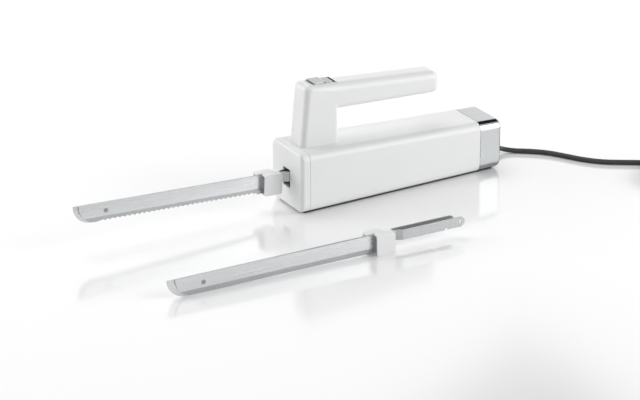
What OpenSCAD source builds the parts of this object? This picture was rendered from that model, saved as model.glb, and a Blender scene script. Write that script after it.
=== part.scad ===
// Electric carving knife with a spare pair of blades and its coiled lead.
// +X runs from the blades to the cord, +Z is up and the housing rests on Z = 0.
// The origin lies under the middle of the housing, on the rest plane.

/* [Housing] */
// Length of the housing from its front face to its rear face
body_l = 252; // [235:1:270]
// Width of the housing at the front face
front_w = 65; // [60:0.5:72]
// Width of the housing at the rear face
rear_w = 56.5; // [54:0.5:60]
// Height of the top above the rest plane at the front face
front_h = 69; // [66:0.5:76]
// Height of the top above the rest plane at the rear face
rear_h = 57.5; // [55:0.5:64]
// Radius along the two upper edges
top_r = 9; // [6:0.5:11]
// Radius along the two lower edges
bottom_r = 10; // [6:0.5:12]
// Wall of the housing mouldings
wall = 2.5; // [2:0.1:3]
// Length of the front cap
front_cap_l = 10.5; // [9:0.5:14]
// Rounding round the rim of the front cap
front_edge_r = 4; // [2:0.5:5]
// Length of the polished rear cap
rear_cap_l = 27; // [20:1:34]
// Rounding round the rim of the rear cap
rear_edge_r = 3; // [1.5:0.5:5]
// Width of the visible grooves between the mouldings
seam_w = 0.4; // [0.2:0.05:0.6]
// Thickness of the dark foot plate under the housing
foot_t = 1.8; // [1.4:0.1:2.4]
// Width of the blade slot in the front face
slot_w = 15; // [14:0.5:17]
// Height of the blade slot in the front face
slot_h = 21; // [20:0.5:23]

/* [Handle] */
// Distance from the front face to the foot of the column
column_from_front = 9.5; // [8.5:0.5:14]
// Length of the column at its foot
column_l = 45; // [42:0.5:52]
// Width of the column and of the bar
column_w = 29.5; // [28:0.5:34]
// How far the front of the column leans back at its top
column_lean = 6.5; // [3:0.5:10]
// Height of the bar's top above the rest plane at its front end
bar_top_front = 135.2; // [130:0.2:144]
// Height of the bar's top above the rest plane at its rear end
bar_top_rear = 122.7; // [118:0.1:130]
// Depth of the bar at its front end
bar_front_h = 30.4; // [27:0.2:33]
// Depth of the bar at its rear end
bar_rear_h = 24.3; // [21:0.1:27]
// Distance from the front face to the rear end of the bar
bar_reach = 181; // [172:0.5:205]
// Radius along the edges of the bar
bar_r = 9; // [6:0.5:11]

/* [Switches] */
// Length of the chrome switch frame on the bar
frame_l = 29.5; // [28:0.5:34]
// Width of the chrome switch frame
frame_w = 18; // [16:0.5:20]
// Height of the chrome switch frame
frame_t = 3.9; // [3.4:0.1:4.4]
// Length of the power button
power_l = 13.6; // [12:0.1:15]
// Length of the lock slider
lock_l = 9.6; // [8:0.1:10.5]
// Travel of the power button
power_travel = 2; // [1:0.1:2.4]
// Travel of the lock slider
lock_travel = 3; // [2:0.1:3.2]
// Radius of the blade release button on the far side
release_r = 7; // [5:0.5:9]
// Travel of the blade release button
release_travel = 2.5; // [1.5:0.1:3]

/* [Blades] */
// Length of a blade from its collar to its tip
blade_l = 211; // [180:1:240]
// Height of a blade
blade_h = 20; // [18:0.5:22]
// Thickness of a blade
blade_t = 1.2; // [1:0.05:1.5]
// Gap between the two blades of a pair
blade_gap = 0.3; // [0.2:0.05:0.5]
// Height of the ground bevel above the cutting edge
bevel_h = 5.6; // [4:0.2:7]
// Distance between two teeth
tooth_pitch = 5.55; // [4.5:0.05:7]
// Depth of the scallop between two teeth
tooth_depth = 1.8; // [0.6:0.1:2.2]
// Distance from the front face to the collar
collar_from_front = 12.4; // [12:0.2:18]
// Length of the collar
collar_l = 21; // [17:0.5:25]
// Width of the two collar halves together
collar_w = 17; // [15:0.5:19]
// Height of the collar
collar_h = 23; // [22:0.5:26]
// Length of a tang behind the collar
tang_l = 76; // [74:0.5:78]
// Height of a tang
tang_h = 11; // [9:0.5:12]
// Length of a spare blade from its collar to its tip
spare_blade_l = 222; // [190:1:240]
// Length of a spare tang behind the collar
spare_tang_l = 84; // [70:1:90]
// Radius of the rivet that holds a pair together
rivet_r = 1.5; // [1.2:0.1:2]

/* [Drive] */
// Crank radius, half the stroke of a blade
crank_r = 4; // [3:0.1:4.2]
// Teeth on the worm wheel
wheel_teeth = 28; // [28:4:28]
// Starts of the worm
worm_starts = 4; // [4:1:4]
// Module of the worm gearing
gear_module = 0.8; // [0.75:0.01:0.85]
// Pitch diameter of the worm
worm_pitch_d = 8; // [7.8:0.1:8.4]
// Width of the worm wheel
wheel_w = 6; // [5:0.1:6]
// Distance from the front face to the wheel's axle
wheel_from_front = 88; // [87:0.5:90]
// Radius of the wheel's axle
axle_r = 2; // [1.8:0.1:2.2]
// Radius of the two eccentric discs
ecc_r = 7.2; // [7:0.1:7.6]

/* [Motor] */
// Width of the laminated field frame
stator_w = 44; // [38:0.5:46]
// Height of the laminated field frame
stator_h = 36; // [33:0.5:37]
// Length of the laminated field frame
stator_l = 28; // [24:0.5:30]
// Radius of the armature
armature_r = 11; // [9:0.5:11.5]
// Radius of the motor shaft
shaft_r = 2.5; // [2:0.1:2.8]
// Radius of the cooling fan
fan_r = 17; // [15:0.5:18]
// Blades on the cooling fan
fan_blades = 10; // [6:1:14]

/* [Cord] */
// Diameter of the mains lead
cord_d = 5.4; // [5:0.1:5.8]
// Height of the lead's exit above the rest plane
cord_exit_z = 12; // [12:0.5:16]
// Distance of the lead's exit from the middle plane, to the far side
cord_exit_y = 9; // [6:0.5:9.5]
// Length of the strain relief outside the rear cap
relief_l = 9; // [8:0.5:10]
// Length of the plug's body
plug_l = 37; // [33:1:42]

/* [Hidden] */

// Shared clearances and steps
overrun = 1;
sliver = 0.01;
touch = 0.02;
run_fit = 0.05;
slide_fit = 0.3;
corner_steps = 8;
edge_steps = 4;
round_fn = 48;
small_fn = 24;

// Frames: the blades, the drive and the top of the housing share one tilt
front_x = -body_l / 2;
axis_tilt = atan((front_h - rear_h) / body_l);
axis_z = 31;
drive_drop = 1;
top_tilt = atan((bar_top_front - bar_top_rear) / (bar_reach - column_from_front - column_lean));

module from_front() { translate([front_x, 0, 0]) children(); }
module on_axis() { from_front() translate([0, 0, axis_z]) rotate([0, axis_tilt, 0]) children(); }
module on_drive() { on_axis() translate([0, 0, -drive_drop]) children(); }
module on_motor() { on_drive() translate([0, 0, gear_distance]) children(); }

// A cylinder along X from x1 to x2, and one along Y from y1 to y2
module rod_x(x1, x2, r, fn = round_fn) {
    translate([x1, 0, 0]) rotate([0, 90, 0]) cylinder(h = x2 - x1, r = r, $fn = fn);
}
module rod_y(y1, y2, r, fn = round_fn) {
    translate([0, y1, 0]) rotate([-90, 0, 0]) cylinder(h = y2 - y1, r = r, $fn = fn);
}
module box(low, high) { translate(low) cube(high - low); }
module both_sides() { for (s = [0, 1]) mirror([0, s, 0]) children(); }

// Ends the feet of inner pieces a touch above the sleeve's floor
module above_floor() {
    intersection() {
        children();
        from_front() box([0, -front_w, foot_t + wall + touch], [body_l, front_w, front_h]);
    }
}

// Outline of the housing at x behind the front face, drawn in by inset
function width_at(x) = front_w + (rear_w - front_w) * x / body_l;
function height_at(x) = front_h + (rear_h - front_h) * x / body_l;
least_r = 0.5;
function arc(c, r, from) =
    [for (i = [0:corner_steps])
        [c[0] + r * cos(from + 90 * i / corner_steps), c[1] + r * sin(from + 90 * i / corner_steps)]];
function ring_of(hw, low, high, rt, rb) = concat(
    arc([hw - rt, high - rt], rt, 0), arc([-hw + rt, high - rt], rt, 90),
    arc([-hw + rb, low + rb], rb, 180), arc([hw - rb, low + rb], rb, 270));
function housing_outline(x, inset) = ring_of(
    width_at(x) / 2 - inset, foot_t + inset, height_at(x) - inset,
    max(top_r - inset, least_r), max(bottom_r - inset, least_r));
module slice_at(x, points) {
    translate([x, 0, 0]) rotate([90, 0, 90]) linear_extrude(sliver) polygon(points);
}
module housing_form(x1, x2, inset) {
    hull() {
        slice_at(x1, housing_outline(x1, inset));
        slice_at(x2 - sliver, housing_outline(x2, inset));
    }
}

// Housing: one long sleeve between two caps, on a dark foot plate
rear_seam_x = body_l - rear_cap_l;
spigot_l = 5;
spigot_wall = 2;
slot_rise = 2.5;
slot_z = axis_z + slot_rise;
slot_corner_r = 1.5;
cap_wall = 3;
column_hole_l = 24;
column_hole_w = 15;
column_hole_x = column_from_front + column_l / 2;
screw_from_column_front = 10;
screw_from_column_rear = 6;
handle_screw_x = [column_from_front + screw_from_column_front,
    column_from_front + column_l - screw_from_column_rear];
handle_screw_y = 9.6;
screw_r = 1.5;
screw_head_r = 2.8;
screw_head_t = 2;
foot_tuck = 3;
foot_inset = bottom_r - foot_tuck;
foot_screw_from_front = 26;
foot_screw_from_rear = 40;
foot_screw_x = [foot_screw_from_front, body_l - foot_screw_from_rear];
foot_screw_y = 13;
boss_r = 3.6;
release_x = 54;

module round_rect(w, h, r) {
    square([w - 2 * r, h], center = true);
    square([w, h - 2 * r], center = true);
    for (x = [-1, 1], y = [-1, 1])
        translate([x * (w / 2 - r), y * (h / 2 - r)]) circle(r, $fn = small_fn);
}
module main_sleeve() {
    color("whitesmoke") from_front() difference() {
        housing_form(front_cap_l + seam_w, rear_seam_x - seam_w, 0);
        housing_form(front_cap_l, rear_seam_x, wall);
        translate([column_hole_x, 0, front_h / 2])
            linear_extrude(front_h) square([column_hole_l, column_hole_w], center = true);
        for (x = handle_screw_x, y = [-1, 1])
            translate([x, y * handle_screw_y, front_h / 2])
                cylinder(h = front_h, r = screw_r + touch, $fn = small_fn);
        for (x = foot_screw_x, y = [-1, 1])
            translate([x, y * foot_screw_y, -overrun])
                cylinder(h = front_h / 2, r = screw_r + touch, $fn = small_fn);
        translate([release_x, 0, release_z])
            rod_y(width_at(release_x) / 2 - 2 * wall, front_w, release_r + slide_fit);
    }
}
module front_cap() {
    color("whitesmoke") from_front() difference() {
        union() {
            hull() {
                for (i = [0:edge_steps]) {
                    t = 90 * i / edge_steps;
                    x = front_edge_r * (1 - sin(t));
                    slice_at(x, housing_outline(x, front_edge_r * (1 - cos(t))));
                }
                slice_at(front_cap_l - sliver, housing_outline(front_cap_l, 0));
            }
            housing_form(front_cap_l - overrun, front_cap_l + spigot_l, wall + touch);
        }
        housing_form(cap_wall, front_cap_l + spigot_l + overrun, wall + spigot_wall);
        translate([-overrun, 0, slot_z]) rotate([90, 0, 90])
            linear_extrude(cap_wall + 2 * overrun) round_rect(slot_w, slot_h, slot_corner_r);
    }
}

// A thin dark liner round the mouth of the slot
liner_wall = 0.9;
liner_l = 9;
liner_recess = 0.8;
module slot_liner() {
    color("dimgray") from_front() translate([liner_recess, 0, slot_z]) rotate([90, 0, 90])
        linear_extrude(liner_l) difference() {
            round_rect(slot_w - 2 * touch, slot_h - 2 * touch, slot_corner_r);
            round_rect(slot_w - 2 * liner_wall, slot_h - 2 * liner_wall, slot_corner_r - liner_wall / 2);
        }
}
module rear_cap() {
    color("silver") from_front() difference() {
        union() {
            hull() {
                slice_at(rear_seam_x, housing_outline(rear_seam_x, 0));
                for (i = [0:edge_steps]) {
                    t = 90 * i / edge_steps;
                    x = body_l - rear_edge_r * (1 - sin(t));
                    slice_at(x - sliver, housing_outline(x, rear_edge_r * (1 - cos(t))));
                }
            }
            housing_form(rear_seam_x - spigot_l, rear_seam_x + overrun, wall + touch);
        }
        housing_form(rear_seam_x - spigot_l - overrun, body_l - cap_wall, wall + spigot_wall);
        translate([body_l, cord_exit_y, cord_exit_z])
            rod_x(-2 * cap_wall, overrun, relief_neck_r + touch);
    }
}
module foot_plate() {
    color("dimgray") from_front() difference() {
        linear_extrude(foot_t) polygon([
            for (c = [[0, 1], [body_l, 1], [body_l, -1], [0, -1]])
                [abs(c[0] - foot_inset), c[1] * (width_at(c[0]) / 2 - foot_inset)]]);
        for (x = foot_screw_x, y = [-1, 1])
            translate([x, y * foot_screw_y, -overrun])
                cylinder(h = foot_t, r = screw_head_r + touch, $fn = small_fn);
        for (x = foot_screw_x, y = [-1, 1])
            translate([x, y * foot_screw_y, -overrun])
                cylinder(h = foot_t + 2 * overrun, r = screw_r + touch, $fn = small_fn);
    }
}
foot_screw_l = 9;
module foot_screws() {
    color("gray") from_front() for (x = foot_screw_x, y = [-1, 1])
        translate([x, y * foot_screw_y, 0]) {
            translate([0, 0, foot_t - overrun - screw_head_t / 2])
                cylinder(h = screw_head_t / 2 - touch, r = screw_head_r, $fn = small_fn);
            translate([0, 0, foot_t - overrun - screw_head_t / 2])
                cylinder(h = foot_screw_l, r = screw_r, $fn = small_fn);
        }
}

// Handle: a column and a bar, split along the middle plane into two shells
bar_front = column_from_front + column_lean;
column_rear = column_from_front + column_l;
column_front_r = 6;
column_rear_r = 4;
bar_edge_r = 8;
handle_wall = 2.4;
column_root = 12;
function bar_share(x) = (x - bar_front) / (bar_reach - bar_front);
function bar_top(x) = bar_top_front + (bar_top_rear - bar_top_front) * bar_share(x);
function bar_under(x) = bar_top(x) - bar_front_h - (bar_rear_h - bar_front_h) * bar_share(x);
function bar_outline(x, inset) = ring_of(
    column_w / 2 - inset, bar_under(x) + inset, bar_top(x) - inset,
    max(bar_r - inset, least_r), max(bar_r - inset, least_r));
module column_form(inset) {
    hull() {
        translate([0, 0, height_at(column_rear) - column_root]) linear_extrude(sliver)
            polygon(concat(
                arc([column_rear - inset - column_rear_r, column_w / 2 - inset - column_rear_r],
                    column_rear_r, 0),
                arc([column_from_front + column_front_r, column_w / 2 - column_front_r],
                    column_front_r - inset, 90),
                arc([column_from_front + column_front_r, -column_w / 2 + column_front_r],
                    column_front_r - inset, 180),
                arc([column_rear - inset - column_rear_r, -column_w / 2 + inset + column_rear_r],
                    column_rear_r, 270)));
        for (i = [0:edge_steps]) {
            t = 90 * i / edge_steps;
            x = bar_front + column_front_r * (1 - sin(t)) + inset * sin(t);
            slice_at(x, bar_outline(x, column_front_r * (1 - cos(t)) + inset * cos(t)));
        }
        slice_at(column_rear - inset, bar_outline(column_rear, inset));
    }
}
module bar_form(inset) {
    hull() {
        slice_at(column_hole_x, bar_outline(column_hole_x, inset));
        for (i = [0:edge_steps]) {
            t = 90 * i / edge_steps;
            x = bar_reach - bar_edge_r * (1 - sin(t)) - inset * sin(t);
            slice_at(x - sliver, bar_outline(x, bar_edge_r * (1 - cos(t)) + inset * cos(t)));
        }
    }
}
handle_screw_l = 16;
module handle_near_shell() {
    color("whitesmoke") from_front() {
        difference() {
            union() {
                column_form(0);
                bar_form(0);
            }
            difference() {
                union() {
                    column_form(handle_wall);
                    bar_form(handle_wall);
                }
                for (x = handle_screw_x)
                    translate([x, -handle_screw_y, 0]) cylinder(h = front_h + handle_screw_l, r = boss_r);
            }
            housing_form(0, body_l, -touch);
            box([0, -touch / 2, 0], [bar_reach + overrun, column_w, bar_top_front + overrun]);
            switch_pocket();
            for (x = handle_screw_x)
                translate([x, -handle_screw_y, 0])
                    cylinder(h = height_at(x) + handle_screw_l, r = screw_r + touch, $fn = small_fn);
        }
    }
}
module handle_far_shell() { mirror([0, 1, 0]) handle_near_shell(); }
module handle_screws() {
    color("gray") from_front() for (x = handle_screw_x, y = [-1, 1])
        translate([x, y * handle_screw_y, height_at(x + screw_head_r) - wall]) {
            translate([0, 0, -screw_head_t - touch])
                cylinder(h = screw_head_t, r = screw_head_r, $fn = small_fn);
            translate([0, 0, -screw_head_t])
                cylinder(h = handle_screw_l, r = screw_r, $fn = small_fn);
        }
}

// Switches: a chrome frame let into the bar, with a press button and a lock slider
frame_from_column = 11;
frame_x = bar_front + frame_from_column;
frame_proud = 0.6;
frame_rim = 1.1;
frame_floor = 0.8;
lock_depth = frame_t - frame_proud - frame_floor - slide_fit;
button_proud = 2.4;
button_depth = 4.4;
button_side = frame_w - 2 * frame_rim;
lock_x = frame_rim + power_l + 2 * slide_fit;
stem_r = 2;
stem_l = 11;
lip_t = 1;
module on_top() {
    from_front() translate([frame_x, 0, bar_top(frame_x)]) rotate([0, top_tilt, 0]) children();
}
module switch_pocket() {
    translate([frame_x, 0, bar_top(frame_x)]) rotate([0, top_tilt, 0])
        box([-touch, -frame_w / 2 - touch, -2 * button_depth],
            [frame_l + touch, frame_w / 2 + touch, bar_r]);
}
module switch_frame() {
    color("silver") on_top() {
        difference() {
            translate([frame_l / 2, 0, frame_proud - frame_t]) linear_extrude(frame_t)
                round_rect(frame_l, frame_w, frame_rim);
            box([frame_rim, -button_side / 2, -frame_t - overrun],
                [frame_l - frame_rim, button_side / 2, frame_proud + overrun]);
        }
        box([lock_x, -button_side / 2 - touch, frame_proud - frame_t],
            [frame_l - frame_rim + touch, button_side / 2 + touch, frame_proud - frame_t + frame_floor]);
    }
}
module power_button() {
    color("silver") on_top() {
        difference() {
            translate([frame_rim + slide_fit + power_l / 2, 0, -button_depth])
                linear_extrude(button_depth + button_proud)
                    round_rect(power_l, button_side - 2 * slide_fit, frame_rim);
            for (i = [0:grip_count - 1])
                translate([frame_rim + power_l * (i + 1) / (grip_count + 1), 0, button_proud + grip_r / 2])
                    rod_y(-button_side / 2, button_side / 2, grip_r, small_fn);
        }
        translate([frame_rim + power_l / 2, 0, -button_depth - stem_l])
            cylinder(h = stem_l + overrun, r = stem_r);
    }
}
grip_count = 4;
grip_r = 0.8;
module lock_slider() {
    color("silver") on_top() difference() {
        translate([lock_x + lock_l / 2, 0, -lock_depth]) linear_extrude(lock_depth + button_proud / 2)
            round_rect(lock_l, button_side - 2 * slide_fit, frame_rim);
        for (i = [0:grip_count - 2])
            translate([lock_x + lock_l * (i + 1) / grip_count, 0, button_proud / 2 + grip_r / 2])
                rod_y(-button_side / 2, button_side / 2, grip_r, small_fn);
    }
}

// A coil spring round an axis along Z, as one swept wire
spring_wire_r = 0.35;
spring_sides = 6;
spring_steps = 10;
module coil_spring(r, height, turns) {
    count = turns * spring_steps;
    rings = [for (i = [0:count]) let (a = 360 * i / spring_steps, z = height * i / count)
        for (j = [0:spring_sides - 1]) let (b = 360 * j / spring_sides)
            [(r + spring_wire_r * cos(b)) * cos(a), (r + spring_wire_r * cos(b)) * sin(a),
             z + spring_wire_r * sin(b)]];
    polyhedron(rings, tube_faces(count + 1, spring_sides));
}
function tube_faces(rings, sides) = concat(
    [[for (j = [0:sides - 1]) j]],
    [for (i = [0:rings - 2], j = [0:sides - 1]) let (k = (j + 1) % sides)
        each [[i * sides + j, (i + 1) * sides + j, i * sides + k],
              [i * sides + k, (i + 1) * sides + j, (i + 1) * sides + k]]],
    [[for (j = [sides - 1:-1:0]) (rings - 1) * sides + j]]);
power_spring_turns = 4;
bracket_t = 2;
bracket_front = 3;
stem_reach = 3;
bracket_drop = button_depth + stem_l - stem_reach;
module power_spring() {
    color("gray") on_top() translate([frame_rim + power_l / 2, 0, -bracket_drop + spring_wire_r + touch])
        coil_spring(stem_r + 2 * spring_wire_r + touch,
            bracket_drop - button_depth - 2 * (spring_wire_r + touch), power_spring_turns);
}

// A shelf in the column carries the microswitch under the button's stem
shelf_side = column_w - 2 * handle_wall - 2 * touch;
micro_l = 20;
micro_h = 11;
micro_w = 6.5;
plunger_r = 1;
module switch_bracket() {
    color("gainsboro") on_top() difference() {
        union() {
            box([-bracket_front, -shelf_side / 2, -bracket_drop - bracket_t],
                [frame_l, shelf_side / 2, -bracket_drop]);
            box([-bracket_front, micro_w / 2 + touch, -bracket_drop - bracket_t - stem_l - micro_h],
                [frame_l - lock_l, micro_w / 2 + bracket_t, -bracket_drop]);
        }
        translate([frame_rim + power_l / 2, 0, -bracket_drop - bracket_t - overrun])
            cylinder(h = bracket_t + 2 * overrun, r = stem_r + slide_fit);
    }
}
module microswitch() {
    drop = button_depth + stem_l + slide_fit + power_travel;
    color("dimgray") on_top() translate([frame_rim + power_l / 2, 0, -drop]) {
        box([-micro_l / 2 + plunger_r, -micro_w / 2, -micro_h], [micro_l / 2, micro_w / 2, -plunger_r]);
        translate([0, 0, -2 * plunger_r]) cylinder(h = 2 * plunger_r, r = plunger_r, $fn = small_fn);
    }
}

// Blades: two serrated blades side by side, each with half of the collar
blade_y = blade_gap / 2;
tip_steps = 12;
tooth_steps = 4;
edge_t = 0.3;
tang_y = 4;
jog_from = 4;
jog_l = 7;
tang_hole_r = 1.6;
tang_hole_from_end = 5;
tang_notch = 2;
tang_z = blade_h / 2 - tang_h / 2;
collar_x = -collar_from_front - collar_l;
tang_end = -collar_from_front + tang_l;
fitted_pair = [blade_l, tang_l, true];
spare_pair = [spare_blade_l, spare_tang_l, false];
function tip_of(pair) = collar_x - pair[0];
function tang_end_of(pair) = -collar_from_front + pair[1];
function rivet_of(pair) = tip_of(pair) + rivet_from_tip;
rivet_from_tip = 30.6;
rivet_z = 1.3;
rivet_head_r = 2.4;
rivet_head_t = 0.6;
rest_shift = 2.65;
toothless_front = blade_h + 4 * blade_t;
tooth_count = floor((blade_l - toothless_front + collar_l / 2) / tooth_pitch);
tooth_start = tip_of(fitted_pair) + toothless_front;

// Side outline of a blade, from the collar along the teeth and round the tip
function edge_points() =
    [for (i = [tooth_count - 1:-1:0], j = [tooth_steps:-1:1]) let (t = j / tooth_steps)
        [tooth_start + (i + t) * tooth_pitch, -blade_h / 2 + tooth_depth * sin(180 * t)]];
function tip_points(x) =
    [for (i = [0:tip_steps]) let (a = 90 * i / tip_steps)
        [x + blade_h * (1 - sin(a)), blade_h / 2 - blade_h * cos(a)]];
function tang_points(x) = concat(
    [for (i = [0:2 * corner_steps]) let (a = 90 - 90 * i / corner_steps)
        [x - tang_h / 2 * (1 - cos(a)), tang_z + tang_h / 2 * sin(a)]],
    [[collar_x + collar_l / 2, blade_h / 2 - tang_h], [collar_x + collar_l / 2, -blade_h / 2]]);
module blade_side(pair) {
    polygon(concat(tang_points(tang_end_of(pair)), pair[2] ? edge_points() : [],
        tip_points(tip_of(pair))));
}
// Plan of one blade on the far side of the middle plane: straight, a jog, then the tang
module blade_plan(pair) {
    j1 = collar_x + collar_l + jog_from;
    j2 = j1 + jog_l;
    front = tip_of(pair) - overrun;
    rear = tang_end_of(pair) + overrun;
    polygon([
        [front, blade_y], [j1, blade_y], [j2, tang_y - blade_t / 2],
        [rear, tang_y - blade_t / 2], [rear, tang_y + blade_t / 2],
        [j2, tang_y + blade_t / 2], [j1, blade_y + blade_t], [front, blade_y + blade_t]]);
}
// The bevel takes the outer face down to a thin edge
module bevel_cut(pair) {
    translate([tip_of(pair) - overrun, 0, 0]) rotate([90, 0, 90])
        linear_extrude(pair[0] + overrun) polygon([
            [blade_y + blade_t, -blade_h / 2 + bevel_h],
            [blade_y + blade_t + overrun, -blade_h / 2 + bevel_h],
            [blade_y + blade_t + overrun, -blade_h / 2 - overrun],
            [blade_y + edge_t - overrun * (blade_t - edge_t) / bevel_h, -blade_h / 2 - overrun]]);
}
module far_half_blade(pair) {
    end = tang_end_of(pair);
    difference() {
        intersection() {
            translate([0, tang_y + 2 * blade_t, 0]) rotate([90, 0, 0])
                linear_extrude(tang_y + 3 * blade_t) blade_side(pair);
            translate([0, 0, -blade_h]) linear_extrude(2 * blade_h) blade_plan(pair);
        }
        bevel_cut(pair);
        translate([end - tang_hole_from_end, 0, tang_z])
            rod_y(tang_y - blade_t, tang_y + blade_t, tang_hole_r, small_fn);
        translate([end - 2 * tang_h, 0, blade_h / 2 - tang_h])
            rod_y(tang_y - blade_t, tang_y + blade_t, tang_notch, small_fn);
    }
}
module near_half_blade(pair) {
    difference() {
        mirror([0, 1, 0]) far_half_blade(pair);
        translate([rivet_of(pair), 0, rivet_z]) rod_y(-tang_y, 0, rivet_r + touch, small_fn);
    }
}
module slotted_far_blade(pair) {
    reach = 2 * crank_r;
    difference() {
        far_half_blade(pair);
        translate([rivet_of(pair), 0, rivet_z]) {
            for (x = [-reach, reach])
                translate([x, 0, 0]) rod_y(0, tang_y, rivet_r + slide_fit, small_fn);
            box([-reach, 0, -rivet_r - slide_fit], [reach, tang_y, rivet_r + slide_fit]);
        }
    }
}
module rivet(pair) {
    outer = blade_y + blade_t;
    translate([rivet_of(pair), 0, rivet_z]) {
        rod_y(-outer, outer + slide_fit + rivet_head_t, rivet_r, small_fn);
        rod_y(-outer - rivet_head_t / 2, -outer, rivet_head_r, small_fn);
        rod_y(outer + slide_fit, outer + slide_fit + rivet_head_t, rivet_head_r, small_fn);
    }
}
// One half of the collar, moulded round its blade, hollow at the front
collar_r = 2;
collar_mouth = 5;
collar_mouth_wall = 1.6;
module far_half_collar() {
    difference() {
        translate([collar_x, collar_w / 2, 0]) rotate([90, 0, 0])
            linear_extrude(collar_w / 2 - blade_y) translate([collar_l / 2, 0])
                round_rect(collar_l, collar_h, collar_r);
        box([collar_x - overrun, 0, -blade_h / 2 - touch],
            [collar_x + collar_l / 2 + touch, blade_y + blade_t + touch, blade_h / 2 + touch]);
        box([collar_x, 0, blade_h / 2 - tang_h - touch],
            [collar_x + collar_l + overrun, blade_y + blade_t + touch, blade_h / 2 + touch]);
        box([collar_x - overrun, 0, -collar_h / 2 + collar_mouth_wall],
            [collar_x + collar_mouth, collar_w / 2 - collar_mouth_wall, collar_h / 2 - collar_mouth_wall]);
    }
}
module near_blade() {
    color("lightgray") on_axis() translate([rest_shift, 0, 0]) near_half_blade(fitted_pair);
}
module far_blade() {
    color("lightgray") on_axis() translate([-rest_shift, 0, 0]) slotted_far_blade(fitted_pair);
}
module near_collar() {
    color("gainsboro") on_axis() translate([rest_shift, 0, 0]) mirror([0, 1, 0]) far_half_collar();
}
module far_collar() {
    color("gainsboro") on_axis() translate([-rest_shift, 0, 0]) far_half_collar();
}
module blade_rivet() { color("silver") on_axis() translate([rest_shift, 0, 0]) rivet(fitted_pair); }

// The spare pair stands on its collar and tip in front of the housing
spare_turn = -2;
spare_x = 16;
spare_y = -150;
spare_slip = 2 * crank_r;
spare_lean = atan((collar_h - blade_h) / 2 / (spare_blade_l - blade_h));
module on_spare() {
    from_front() translate([spare_x, spare_y, 0]) rotate([0, -spare_lean, spare_turn])
        translate([-collar_x, 0, collar_h / 2]) children();
}
module spare_near_blade() { color("lightgray") on_spare() near_half_blade(spare_pair); }
module spare_near_collar() { color("gainsboro") on_spare() mirror([0, 1, 0]) far_half_collar(); }
module spare_rivet() { color("silver") on_spare() rivet(spare_pair); }
module spare_far_blade() {
    color("lightgray") on_spare() translate([-spare_slip, 0, 0]) slotted_far_blade(spare_pair);
}
module spare_far_collar() {
    color("gainsboro") on_spare() translate([-spare_slip, 0, 0]) far_half_collar();
}

// Carriers: nylon slides that grip the tangs and end in a yoke round an eccentric
carrier_out = 9.5;
carrier_in = 0.6;
carrier_front = 38;
carrier_wall = 2;
ecc_t = 3;
yoke_in = wheel_w / 2 + ecc_t + slide_fit;
yoke_half_w = ecc_r + slide_fit;
yoke_half_h = ecc_r + crank_r + slide_fit;
yoke_rim = 2.4;
bridge_t = 3;
frame_from = wheel_from_front - yoke_half_w - yoke_rim - crank_r - slide_fit - bridge_t;
carrier_rear = frame_from - crank_r - slide_fit;
module far_half_carrier() {
    difference() {
        union() {
            box([carrier_front, carrier_in, tang_z - tang_h / 2 - carrier_wall],
                [carrier_rear, carrier_out, tang_z + tang_h / 2 + carrier_wall]);
            box([carrier_rear - overrun, yoke_in, -drive_drop - yoke_half_h / 2],
                [wheel_from_front, carrier_out, blade_h / 2 - overrun]);
            translate([wheel_from_front, 0, -drive_drop])
                box([-yoke_half_w - yoke_rim, yoke_in, -yoke_half_h - yoke_rim],
                    [yoke_half_w + yoke_rim, carrier_out, yoke_half_h + yoke_rim]);
        }
        translate([wheel_from_front, 0, -drive_drop])
            box([-yoke_half_w, 0, -yoke_half_h], [yoke_half_w, carrier_out + overrun, yoke_half_h]);
        box([carrier_front - overrun, tang_y - blade_t / 2 - slide_fit, tang_z - tang_h / 2 - slide_fit],
            [tang_end + slide_fit, tang_y + blade_t / 2 + slide_fit, tang_z + tang_h / 2 + slide_fit]);
        translate([tang_end - tang_hole_from_end, 0, tang_z])
            rod_y(tang_y, carrier_out + overrun, tang_hole_r + overrun, small_fn);
    }
}
module far_carrier() { color("ivory") on_axis() translate([-rest_shift, 0, 0]) far_half_carrier(); }
module near_carrier() {
    color("ivory") on_axis() translate([rest_shift, 0, 0]) mirror([0, 1, 0]) far_half_carrier();
}

// A fixed guide wraps both carriers behind the slot
guide_from = 44;
guide_l = 12;
guide_wall = 3;
guide_low = tang_z - tang_h / 2 - carrier_wall - slide_fit;
guide_high = tang_z + tang_h / 2 + carrier_wall + slide_fit;
guide_half_w = carrier_out + slide_fit;
module carrier_guide() {
    color("gainsboro") {
        on_axis() difference() {
            box([guide_from, -guide_half_w - guide_wall, guide_low - guide_wall],
                [guide_from + guide_l, guide_half_w + guide_wall, guide_high + guide_wall]);
            box([guide_from - overrun, -guide_half_w, guide_low],
                [guide_from + guide_l + overrun, guide_half_w, guide_high]);
        }
        above_floor() on_axis() box([guide_from, -guide_half_w - guide_wall, -front_h],
            [guide_from + guide_l, guide_half_w + guide_wall, guide_low - guide_wall + touch]);
    }
}
// A leaf over the guide whose nose stands at the hole in the near tang
leaf_t = 0.6;
leaf_w = 8;
leaf_y = guide_half_w + guide_wall;
module latch_spring() {
    color("silver") on_axis() translate([0, 0, tang_z]) {
        box([guide_from + overrun, leaf_y + touch, -leaf_w / 2],
            [tang_end - tang_hole_from_end + leaf_w / 2, leaf_y + leaf_t, leaf_w / 2]);
        translate([tang_end - tang_hole_from_end, 0, 0])
            rod_y(carrier_out + slide_fit, leaf_y + touch * 2, tang_hole_r, small_fn);
    }
}

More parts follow.
